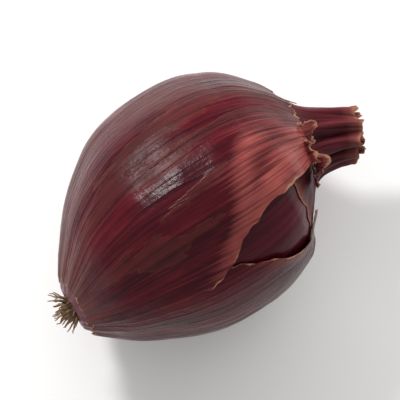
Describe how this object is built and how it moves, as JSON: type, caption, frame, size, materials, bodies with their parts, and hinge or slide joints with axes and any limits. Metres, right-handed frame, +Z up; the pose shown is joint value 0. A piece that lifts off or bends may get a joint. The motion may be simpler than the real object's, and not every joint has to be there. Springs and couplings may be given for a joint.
{
  "type": "red onion",
  "caption": "Dry red onion lying on its side, with a pleated neck, split papery outer skin over shiny plum skin, and a tuft of dried roots.",
  "frame": {"origin": "on the surface that the onion lies on, under the middle of its bounding box", "axes": "+X from the root end to the neck along the onion's length, +Z up, +Y across"},
  "size_m": [0.0784, 0.053, 0.0495],
  "materials": {
    "plum_skin": "smooth and semi-gloss, with fine veins from root to neck",
    "papery_skin": "dry, thin and satin, with fine veins and torn, paler edges",
    "dry_roots": "dry, matt and fibrous"
  },
  "bodies": {
    "root": {"bulb": "plum_skin", "outer_skin_upper": "papery_skin", "outer_skin_lower": "papery_skin", "root_tuft": "dry_roots"}
  },
  "joints": []
}
